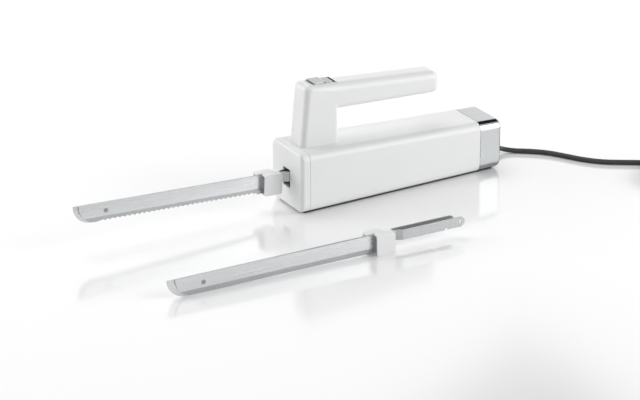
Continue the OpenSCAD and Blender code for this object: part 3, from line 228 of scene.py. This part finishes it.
lead_cover = finish("lead_cover_pvc", (0.028, 0.028, 0.031), 0.42)
grain(lead_cover, 900, 0.00004)
mottle(lead_cover, 60, (0.022, 0.022, 0.025), (0.038, 0.038, 0.042), roughness=(0.36, 0.5))
path = lead_path()
lead = grid_mesh("mains_lead", tube_grid(path, LEAD_D / 2, LEAD_SIDES))
lead.data.materials.append(lead_cover)
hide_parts("cord_free", "cord_coil")
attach(lead, "housing")

# The studio
# A white glossy table runs on as the backdrop. Soft lamps stand on the right of the near side, on
# the left, overhead and behind; a black card above gives the plating its dark edge. White card
# fills the rest, as the world's light.
TABLE_HALF = 6.0
WORLD_LEVEL = 0.42
LAMP_DISTANCE = 3.0
LAMPS = [
    # name, direction from the housing, side of the lamp, power
    ("near_side_softbox", (0.72, -0.64, 0.35), 2.2, 56.0),
    ("front_softbox", (-0.75, 0.6, 0.3), 1.8, 34.0),
    ("overhead_softbox", (-0.1, 0.4, 0.9), 1.8, 24.0),
    ("rear_softbox", (0.49, 0.80, 0.34), 2.6, 10.0),
]
CARD_PLACE, CARD_HALF, CARD_SLOPE = (1.12, 0.92, 1.85), (0.6, 1.28), 0.5
QUAD_CORNERS = ((-1, -1), (1, -1), (1, 1), (-1, 1))

world = bpy.data.worlds.new("studio")
bpy.context.scene.world = world
world.use_nodes = True
nodes, links = world.node_tree.nodes, world.node_tree.links
back = nodes["Background"]
back.inputs["Color"].default_value = (1, 1, 1, 1)
back.inputs["Strength"].default_value = WORLD_LEVEL
seen = nodes.new("ShaderNodeBackground")
seen.inputs["Color"].default_value = (1, 1, 1, 1)
rays = nodes.new("ShaderNodeLightPath")
either = nodes.new("ShaderNodeMath")
any_of = nodes.new("ShaderNodeMath")
either.operation = any_of.operation = "MAXIMUM"
mix = nodes.new("ShaderNodeMixShader")
links.new(rays.outputs["Is Camera Ray"], either.inputs[0])
links.new(rays.outputs["Is Transmission Ray"], either.inputs[1])
links.new(either.outputs["Value"], any_of.inputs[0])
links.new(rays.outputs["Is Glossy Ray"], any_of.inputs[1])
links.new(any_of.outputs["Value"], mix.inputs["Fac"])
links.new(back.outputs["Background"], mix.inputs[1])
links.new(seen.outputs["Background"], mix.inputs[2])
links.new(mix.outputs["Shader"], nodes["World Output"].inputs["Surface"])


def flat_card(name, corners, material):
    """One quad on the stage."""
    mesh = bpy.data.meshes.new(name)
    mesh.from_pydata(corners, [], [(0, 1, 2, 3)])
    mesh.materials.append(material)
    card = bpy.data.objects.new(name, mesh)
    bpy.context.scene.collection.objects.link(card)


white_table = finish("white_table", (0.985, 0.985, 0.985), 0.12, IOR=1.8, Specular_IOR_Level=0.85)
flat_card("table", [(x * TABLE_HALF, y * TABLE_HALF, 0) for x, y in QUAD_CORNERS], white_table)
black_card = finish("black_card", (0.01, 0.01, 0.01), 0.9)
flat_card("overhead_card", [(CARD_PLACE[0] + x * CARD_HALF[0], CARD_PLACE[1] + y * CARD_HALF[1],
                             CARD_PLACE[2] - x * CARD_HALF[0] * CARD_SLOPE)
                            for x, y in QUAD_CORNERS], black_card)
for name, direction, size, power in LAMPS:
    lamp = bpy.data.lights.new(name, "AREA")
    lamp.size, lamp.energy = size, power
    holder = bpy.data.objects.new(name, lamp)
    holder.location = Vector(direction).normalized() * LAMP_DISTANCE
    holder.rotation_euler = Vector(direction).to_track_quat("Z", "Y").to_euler()
    bpy.context.scene.collection.objects.link(holder)

# The finish of the mouldings
# Injection-moulded white ABS, satin. The housing and the handle wear it, and the collars that are
# moulded round the blades.
housing_white = finish("satin_white_abs", (0.82, 0.825, 0.825), 0.32)
grain(housing_white, 700, 0.00002)
mottle(housing_white, 9, (0.807, 0.811, 0.813), (0.832, 0.836, 0.836), roughness=(0.27, 0.34))
wear(housing_white, "near_collar", "far_collar", "spare_near_collar", "spare_far_collar")

# The plated pieces
# Plated ABS with a mirror face, a little soft over the moulding's waves: the rear cap, the switches
# in the handle and the release button, each snapped into its place. The plug's pins look alike.
polish = finish("bright_plating", (0.36, 0.37, 0.38), 0.1, 1.0)
grain(polish, 40, 0.00002)
mottle(polish, 14, (0.345, 0.355, 0.365), (0.375, 0.385, 0.39), roughness=(0.08, 0.14))
wear(polish, "rear_cap", "switch_frame", "power_button", "lock_slider", "release_button",
     "plug_pins")

# The housing's mouldings
# The sleeve, its front cap and the polished rear cap share one tapered outline with rounded edges.
# Each is a hollow moulding: its outside, its rim and its inside are one closed sweep of outlines.
FRONT_W, REAR_W = 0.065, 0.0565
FRONT_H, REAR_H = 0.069, 0.0575
FOOT_T = 0.0018
TOP_R, BOTTOM_R = 0.009, 0.010
WALL, CAP_WALL = 0.0025, 0.003
FRONT_CAP_L, REAR_SEAM_X = 0.0105, 0.225
SEAM_W = 0.0004
FRONT_EDGE_R, REAR_EDGE_R = 0.004, 0.003
SLOT_W, SLOT_H, SLOT_Z, SLOT_R = 0.015, 0.021, 0.0335, 0.0015
CORNER_POINTS = 14
EDGE_POINTS = 7
GUARD = 0.0006
CORD_EXIT_Y, CORD_EXIT_Z, FLANGE_R = 0.009, 0.012, 0.00502
RELEASE_X, RELEASE_Z, RELEASE_HOLE_R = 0.054, 0.032, 0.0073
RELEASE_CUT_Y = (0.02, 0.05)
LEAST_R = 0.001
DOUBLES_M = 1e-7
CRISP_DEG = 30


def rounded(half_w, low, high, r_top, r_bottom, guard=GUARD):
    """Rounded rectangle in Y and Z for each row: four quarter arcs, with a point a little way along
    each straight side so that flat faces keep a flat shade."""
    half_w, low, high, r_top, r_bottom = np.broadcast_arrays(
        *[np.asarray(v, float)[..., None] for v in (half_w, low, high, r_top, r_bottom)])
    a = np.linspace(0, np.pi / 2, CORNER_POINTS)[None, :]
    sides = []
    for k, (sy, sz, r) in enumerate(((1, 1, r_top), (-1, 1, r_top),
                                     (-1, -1, r_bottom), (1, -1, r_bottom))):
        y0 = sy * (half_w - r)
        z0 = (high - r) if sz > 0 else (low + r)
        angle = a + k * np.pi / 2
        y, z = y0 + r * np.cos(angle), z0 + r * np.sin(angle)
        before = np.array([math.sin(k * np.pi / 2), -math.cos(k * np.pi / 2)]) * guard
        after = np.array([-math.sin((k + 1) * np.pi / 2), math.cos((k + 1) * np.pi / 2)]) * guard
        y = np.concatenate([y[:, :1] + before[0], y, y[:, -1:] + after[0]], axis=1)
        z = np.concatenate([z[:, :1] + before[1], z, z[:, -1:] + after[1]], axis=1)
        sides.append(np.stack([y, z], axis=-1))
    return np.concatenate(sides, axis=1)


def placed(x, outline):
    """Outlines in Y and Z become rows of points at distances x behind the front face."""
    across = np.broadcast_to((x - HOUSING_L / 2)[:, None, None], outline.shape[:2] + (1,))
    return np.concatenate([across, outline], axis=-1)


def housing_rows(x, inset):
    """The housing's outline at distances x behind the front face, drawn in by inset."""
    x, inset = np.asarray(x, float), np.asarray(inset, float)
    share = x / HOUSING_L
    outline = rounded((FRONT_W + (REAR_W - FRONT_W) * share) / 2 - inset, FOOT_T + inset,
                      FRONT_H + (REAR_H - FRONT_H) * share - inset,
                      np.maximum(TOP_R - inset, LEAST_R), np.maximum(BOTTOM_R - inset, LEAST_R))
    return placed(x, outline)


def hole_rows(x, half_w, low, high, r, guard=GUARD):
    """The same outline at each x: the wall of a hole through the face of a cap."""
    count = len(x)
    return placed(np.array(x, float), rounded([half_w] * count, [low] * count, [high] * count,
                                              [r] * count, [r] * count, guard))


def edge_round(r):
    """Quarter round in along-and-in steps: along falls from r to 0 while in grows from 0 to r."""
    t = np.linspace(0, np.pi / 2, EDGE_POINTS)
    return r * (1 - np.sin(t)), r * (1 - np.cos(t))


def settle(piece, material, replaced, cutter=None):
    """Merges doubles, turns faces outwards, cuts the cutter out and keeps sharp corners crisp. The
    piece then rides on the housing in place of CAD nodes."""
    if cutter:
        cut = piece.modifiers.new("cut", "BOOLEAN")
        cut.object, cut.solver = cutter, "EXACT"
    merge = bmesh.new()
    merge.from_mesh(piece.data)
    bmesh.ops.remove_doubles(merge, verts=merge.verts, dist=DOUBLES_M)
    bmesh.ops.recalc_face_normals(merge, faces=merge.faces)
    merge.to_mesh(piece.data)
    merge.free()
    if cutter:
        bpy.context.view_layer.update()
        evaluated = piece.evaluated_get(bpy.context.evaluated_depsgraph_get())
        cut_mesh = bpy.data.meshes.new_from_object(evaluated)
        piece.modifiers.clear()
        piece.data = cut_mesh
        bpy.data.objects.remove(cutter)
    piece.data.polygons.foreach_set("use_smooth", np.ones(len(piece.data.polygons), bool))
    piece.data.set_sharp_from_angle(angle=math.radians(CRISP_DEG))
    piece.data.materials.clear()
    piece.data.materials.append(material)
    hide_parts(*replaced)
    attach(piece, "housing")


def moulding(name, rows, material, *replaced, slot="housing", cutter=None):
    """A closed sweep of outlines, from the outside over the rims to the inside and back."""
    piece = grid_mesh(name, np.concatenate([rows, rows[:1]]), caps=False)
    settle(piece, material, replaced, cutter)


def rod(name, start, end, radius, sides=64):
    """A plain closed cylinder between two points, for cutting holes."""
    line = np.array([start, end], float)
    return grid_mesh(name, tube_grid(line, radius, sides))


release_cutter = rod("release_cutter",
                     *[(RELEASE_X - HOUSING_L / 2, y, RELEASE_Z) for y in RELEASE_CUT_Y],
                     RELEASE_HOLE_R)
first, last = FRONT_CAP_L + SEAM_W, REAR_SEAM_X - SEAM_W
moulding("sleeve_moulding", housing_rows(
    [first, first + GUARD, last - GUARD, last, last, first], [0, 0, 0, 0, WALL, WALL]),
    housing_white, "main_sleeve", cutter=release_cutter)

along, inward = edge_round(FRONT_EDGE_R)
slot_rows = hole_rows([0, CAP_WALL], SLOT_W / 2, SLOT_Z - SLOT_H / 2, SLOT_Z + SLOT_H / 2, SLOT_R)
moulding("front_cap_moulding", np.concatenate([
    housing_rows([FRONT_CAP_L, FRONT_CAP_L - GUARD, FRONT_EDGE_R + GUARD], [0, 0, 0]),
    housing_rows(along, inward),
    housing_rows([0], [FRONT_EDGE_R + GUARD]), slot_rows,
    housing_rows([CAP_WALL, FRONT_CAP_L], [WALL, WALL])]), housing_white, "front_cap")

along, inward = edge_round(REAR_EDGE_R)
exit_rows = hole_rows([HOUSING_L, HOUSING_L - CAP_WALL], FLANGE_R, CORD_EXIT_Z - FLANGE_R,
                      CORD_EXIT_Z + FLANGE_R, FLANGE_R, guard=0)
exit_rows[..., 1] += CORD_EXIT_Y
moulding("rear_cap_shell", np.concatenate([
    housing_rows([REAR_SEAM_X, REAR_SEAM_X + GUARD, HOUSING_L - REAR_EDGE_R - GUARD], [0, 0, 0]),
    housing_rows(HOUSING_L - along, inward),
    housing_rows([HOUSING_L], [REAR_EDGE_R + GUARD]), exit_rows,
    housing_rows([HOUSING_L - CAP_WALL, REAR_SEAM_X], [WALL, WALL])]), polish, "rear_cap",
    slot="polished")

# The handle
# A column that leans back a little and a tapering bar, in white ABS with generous rounds. A real
# one is two shells, joined along the middle and screwed down. The switch frame sits in its top.
COLUMN_FRONT, COLUMN_REAR, COLUMN_BASE_Z = 0.0095, 0.0545, 0.0545
BAR_FRONT, BAR_END = 0.016, 0.181
BAR_TOP, BAR_TOP_END = 0.1352, 0.1227
BAR_UNDER, BAR_UNDER_END = 0.1048, 0.0984
HANDLE_W = 0.0295
NOSE_R, COLUMN_REAR_R, BAR_R, BAR_UNDER_R, BAR_END_R = 0.006, 0.004, 0.009, 0.008, 0.008
BAR_TILT = math.atan2(BAR_TOP - BAR_TOP_END, BAR_END - BAR_FRONT)
FRAME_X, FRAME_L, FRAME_W, POCKET_DEPTH = 0.027, 0.0295, 0.018, 0.0088
POCKET_CLEAR = 0.0004
COLUMN_ROWS, RISE_ROWS, NOSE_ROWS, TOP_ROWS, BAR_ROWS = 8, 5, 12, 6, 4
ROW_GAP = 0.002


def on_bar(x, front, end):
    """Height of a line of the bar at x behind the front face."""
    return front + (end - front) * (x - BAR_FRONT) / (BAR_END - BAR_FRONT)


def handle_rows():
    """Sections from an inner line to an outer line: up the column, fanned about the corner under
    the bar, along the bar, and drawn in round its end."""
    column_z = np.linspace(COLUMN_BASE_Z, BAR_UNDER - ROW_GAP, COLUMN_ROWS)
    lean = (BAR_FRONT - COLUMN_FRONT) / (BAR_TOP - NOSE_R - COLUMN_BASE_Z)
    outer_a = np.stack([COLUMN_FRONT + lean * (column_z - COLUMN_BASE_Z), column_z], 1)
    inner_a = np.stack([np.full(COLUMN_ROWS, COLUMN_REAR), column_z], 1)
    rise = np.linspace(BAR_UNDER + ROW_GAP, BAR_TOP - NOSE_R - ROW_GAP, RISE_ROWS)
    outer_b = np.stack([COLUMN_FRONT + lean * (rise - COLUMN_BASE_Z), rise], 1)
    turn = np.linspace(math.pi, math.pi / 2 - BAR_TILT, NOSE_ROWS)
    outer_c = np.stack([BAR_FRONT + NOSE_R + NOSE_R * np.cos(turn),
                        BAR_TOP - NOSE_R + NOSE_R * np.sin(turn)], 1)
    outer_c[:, 1] = np.minimum(outer_c[:, 1], on_bar(outer_c[:, 0], BAR_TOP, BAR_TOP_END))
    ahead = np.linspace(BAR_FRONT + NOSE_R + ROW_GAP, COLUMN_REAR, TOP_ROWS)
    outer_d = np.stack([ahead, on_bar(ahead, BAR_TOP, BAR_TOP_END)], 1)
    fan = np.concatenate([outer_b, outer_c, outer_d])
    pivot = np.array([COLUMN_REAR, on_bar(COLUMN_REAR, BAR_UNDER, BAR_UNDER_END)])
    along, inward = edge_round(BAR_END_R)
    bar_x = np.concatenate([
        np.linspace(COLUMN_REAR + ROW_GAP, BAR_END - BAR_END_R - GUARD, BAR_ROWS), BAR_END - along])
    outer_e = np.stack([bar_x, on_bar(bar_x, BAR_TOP, BAR_TOP_END)], 1)
    inner_e = np.stack([bar_x, on_bar(bar_x, BAR_UNDER, BAR_UNDER_END)], 1)
    outer = np.concatenate([outer_a, fan, outer_e])
    inner = np.concatenate([inner_a, np.repeat(pivot[None], len(fan), 0), inner_e])
    inset = np.concatenate([np.zeros(COLUMN_ROWS + len(fan) + BAR_ROWS), inward])
    step = outer - inner
    length = np.linalg.norm(step, axis=1)
    blend = np.clip(np.arctan2(step[:, 1], -step[:, 0]) / (math.pi / 2), 0, 1)
    outer_r = NOSE_R + (BAR_R - NOSE_R) * blend - inset
    inner_r = COLUMN_REAR_R + (BAR_UNDER_R - COLUMN_REAR_R) * blend - inset
    outline = rounded(HANDLE_W / 2 - inset, inset, length - inset,
                      np.maximum(outer_r, LEAST_R), np.maximum(inner_r, LEAST_R))
    unit = step / length[:, None]
    place = inner[:, None] + outline[..., 1:] * unit[:, None]
    return np.stack([place[..., 0] - HOUSING_L / 2, outline[..., 0], place[..., 1]], axis=-1)


def pocket_cutter():
    """The pocket's box, in the plane of the bar's top."""
    x = (POCKET_CLEAR, FRAME_L - POCKET_CLEAR)
    y = (-FRAME_W / 2 + POCKET_CLEAR, FRAME_W / 2 - POCKET_CLEAR)
    z = (-POCKET_DEPTH, POCKET_DEPTH)
    ring = np.array([[(x[0], a, b), (x[1], a, b)] for a, b in
                     ((y[0], z[0]), (y[1], z[0]), (y[1], z[1]), (y[0], z[1]))]).transpose(1, 0, 2)
    place = (Matrix.Translation((FRAME_X - HOUSING_L / 2, 0, on_bar(FRAME_X, BAR_TOP, BAR_TOP_END)))
             @ Matrix.Rotation(BAR_TILT, 4, "Y"))
    flat = ring.reshape(-1, 3) @ np.array(place.to_3x3()).T + np.array(place.translation)
    box = grid_mesh("pocket_cutter", flat.reshape(ring.shape))
    box.data.polygons.foreach_set("use_smooth", np.zeros(len(box.data.polygons), bool))
    return box


handle = grid_mesh("handle_moulding", handle_rows())
settle(handle, housing_white, ("handle_near_shell", "handle_far_shell"), cutter=pocket_cutter())

# The foot plate and the slot's liner
# Dark rubber-like moulding under the housing, screwed on; its dark tone is also painted shadow for
# the gap under the housing. The lip round the blade slot is a grey moulding that is pressed into
# the front cap, and its grey is painted shade for the slot's recess.
dark_plastic_and_painted_shadow = finish("dark_moulding_and_painted_shadow", (0.035, 0.035, 0.038), 0.5)
grain(dark_plastic_and_painted_shadow, 1200, 0.00005)
mottle(dark_plastic_and_painted_shadow, 40, (0.03, 0.03, 0.033), (0.045, 0.045, 0.048), roughness=(0.45, 0.58))
# On the foot plate this dark tone is partly painted shadow, standing in for the shade in the gap
# under the housing
wear(dark_plastic_and_painted_shadow, "foot_plate", "microswitch", "carbon_brushes")
# The liner's grey is painted shade for the recess of the blade slot
painted_shade_grey = finish("slot_painted_shade_grey", (0.3, 0.3, 0.31), 0.4)
grain(painted_shade_grey, 900, 0.00004)
mottle(painted_shade_grey, 40, (0.28, 0.28, 0.29), (0.34, 0.34, 0.35), roughness=(0.36, 0.48))
wear(painted_shade_grey, "slot_liner")

# The blades
# Hardened stainless strip, riveted in pairs near the tip. The flats are ground lengthwise and
# bright. The bevel, the scallops and the spine are ground across and rougher, and their darker tone
# is partly painted shade, standing in for the dark reflections that tilted faces show. The spare
# pair's open tangs show the dull rolled strip in that same darker tone.
FLAT_SHARE = 0.993
SPARE_TANG_X = -0.098
LENGTHWISE, CROSSWISE = (6, 60, 2200), (1400, 60, 20)
LINE_SCALE, LINE_DETAIL, LINE_DEPTH = 2.0, 4.0, 0.0000015
FLAT_TONES = ((0.62, 0.635, 0.65), (0.7, 0.71, 0.72))
# The darker tones for faces that are not flat are partly painted shade, for the dark reflections of
# bevel and spine
DULL_AND_PAINTED_SHADE_TONES = ((0.43, 0.44, 0.45), (0.51, 0.52, 0.53))
FLAT_ROUGHNESS = ((0.2, 0.2, 0.2), (0.34, 0.34, 0.34))
BEVEL_ROUGHNESS = ((0.34, 0.34, 0.34), (0.46, 0.46, 0.46))


def ground_steel(name, tang_from=None):
    """A flat face points within a few degrees of sideways, and a bevel is tilted by nine. Behind
    tang_from on the X axis nothing is ground bright. Faces that are not flat take darker tones,
    partly painted shade for the darker reflections a tilted face shows."""
    material = finish(name, (0.62, 0.63, 0.64), 0.28, 1.0)
    nodes, links = material.node_tree.nodes, material.node_tree.links
    shader = nodes["Principled BSDF"]
    place, shape, parts = (nodes.new("ShaderNodeTexCoord"), nodes.new("ShaderNodeNewGeometry"),
                           nodes.new("ShaderNodeSeparateXYZ"))
    side, flat = nodes.new("ShaderNodeMath"), nodes.new("ShaderNodeMath")
    side.operation, flat.operation = "ABSOLUTE", "GREATER_THAN"
    flat.inputs[1].default_value = FLAT_SHARE
    links.new(shape.outputs["True Normal"], parts.inputs["Vector"])
    links.new(parts.outputs["Y"], side.inputs[0])
    links.new(side.outputs["Value"], flat.inputs[0])
    if tang_from is not None:
        spot, ahead, both = (nodes.new("ShaderNodeSeparateXYZ"), nodes.new("ShaderNodeMath"),
                             nodes.new("ShaderNodeMath"))
        ahead.operation, both.operation = "LESS_THAN", "MULTIPLY"
        ahead.inputs[1].default_value = tang_from
        links.new(place.outputs["Object"], spot.inputs["Vector"])
        links.new(spot.outputs["X"], ahead.inputs[0])
        links.new(flat.outputs["Value"], both.inputs[0])
        links.new(ahead.outputs["Value"], both.inputs[1])
        flat = both
    along_lines = noise_node(material, LINE_SCALE, LINE_DETAIL, LENGTHWISE)
    cross_lines = noise_node(material, LINE_SCALE, LINE_DETAIL, CROSSWISE)
    # Faces off the flat take the darker tones: ground across, and painted shade
    for socket, kind, bevel_pair, flat_pair in (
            ("Base Color", "RGBA", DULL_AND_PAINTED_SHADE_TONES, FLAT_TONES),
            ("Roughness", "FLOAT", BEVEL_ROUGHNESS, FLAT_ROUGHNESS)):
        ramps = (tone_ramp(material, cross_lines, *bevel_pair),
                 tone_ramp(material, along_lines, *flat_pair))
        pick = nodes.new("ShaderNodeMix")
        pick.data_type = kind
        word = "Color" if kind == "RGBA" else "Float"
        sockets = {k.identifier: k for k in list(pick.inputs) + list(pick.outputs)}
        links.new(flat.outputs["Value"], sockets["Factor_Float"])
        links.new(ramps[0].outputs["Color"], sockets["A_" + word])
        links.new(ramps[1].outputs["Color"], sockets["B_" + word])
        links.new(sockets["Result_" + word], shader.inputs[socket])
    bump = nodes.new("ShaderNodeBump")
    bump.inputs["Distance"].default_value = LINE_DEPTH
    links.new(along_lines.outputs["Fac"], bump.inputs["Height"])
    links.new(bump.outputs["Normal"], shader.inputs["Normal"])
    return material


wear(ground_steel("ground_steel"), "near_blade", "far_blade")
wear(ground_steel("ground_steel_spare", SPARE_TANG_X), "spare_near_blade", "spare_far_blade")

# The strain relief and the plug
# Soft moulded PVC, a little less glossy than the lead's own cover. The relief sits in the rear
# cap's hole, and the plug is moulded on the lead's end.
soft_moulding = finish("moulded_pvc", (0.03, 0.03, 0.033), 0.5)
grain(soft_moulding, 1500, 0.00005)
mottle(soft_moulding, 50, (0.026, 0.026, 0.029), (0.04, 0.04, 0.044), roughness=(0.45, 0.58))
wear(soft_moulding, "strain_relief", "mains_plug")

# Drive, motor and wiring
# Inside the housing: nylon slides, wheel and brackets, turned brass, a die-cast frame that is
# screwed to the sleeve, lamination stacks, enamelled copper and blue cores.
nylon = finish("natural_nylon", (0.72, 0.69, 0.6), 0.45)
grain(nylon, 800, 0.00003)
mottle(nylon, 25, (0.69, 0.66, 0.57), (0.75, 0.72, 0.63), roughness=(0.4, 0.52))
wear(nylon, "near_carrier", "far_carrier", "carrier_guide", "worm_wheel", "wheel_eccentrics",
     "cooling_fan", "motor_cradle", "rear_bracket", "switch_bracket", "interference_filter",
     "terminal_block", "cord_clamp")
brass = finish("turned_brass", (0.56, 0.38, 0.12), 0.3, 1.0)
grain(brass, 300, 0.00002, stretch=(20, 1, 1))
mottle(brass, 60, (0.5, 0.34, 0.1), (0.6, 0.42, 0.15), roughness=(0.24, 0.38))
wear(brass, "worm", "front_bearing", "rear_bearing", "brush_holders")
copper = finish("enamelled_copper", (0.5, 0.2, 0.08), 0.35, 1.0)
grain(copper, 500, 0.0001, stretch=(8, 1, 1))
mottle(copper, 80, (0.42, 0.16, 0.06), (0.55, 0.24, 0.1), roughness=(0.28, 0.45))
wear(copper, "armature_windings", "field_coils", "commutator")
plain_steel = finish("plain_steel", (0.3, 0.3, 0.31), 0.38, 1.0)
grain(plain_steel, 400, 0.00003, stretch=(12, 1, 1))
mottle(plain_steel, 50, (0.26, 0.26, 0.27), (0.36, 0.36, 0.37), roughness=(0.3, 0.46))
wear(plain_steel, "armature", "field_frame", "motor_shaft", "wheel_axle", "latch_spring",
     "power_spring", "release_spring", "foot_screws", "handle_screws", "gear_frame_screws",
     "clamp_screws", "blade_rivet", "spare_rivet")
cast_metal = finish("die_cast", (0.42, 0.43, 0.44), 0.5, 1.0)
grain(cast_metal, 600, 0.00008)
mottle(cast_metal, 30, (0.38, 0.39, 0.4), (0.47, 0.48, 0.49), roughness=(0.42, 0.58))
wear(cast_metal, "gear_frame")
lead_colour = finish("blue_core", (0.03, 0.1, 0.35), 0.4)
grain(lead_colour, 900, 0.00003)
mottle(lead_colour, 60, (0.025, 0.09, 0.32), (0.035, 0.12, 0.4), roughness=(0.35, 0.48))
wear(lead_colour, "internal_leads")
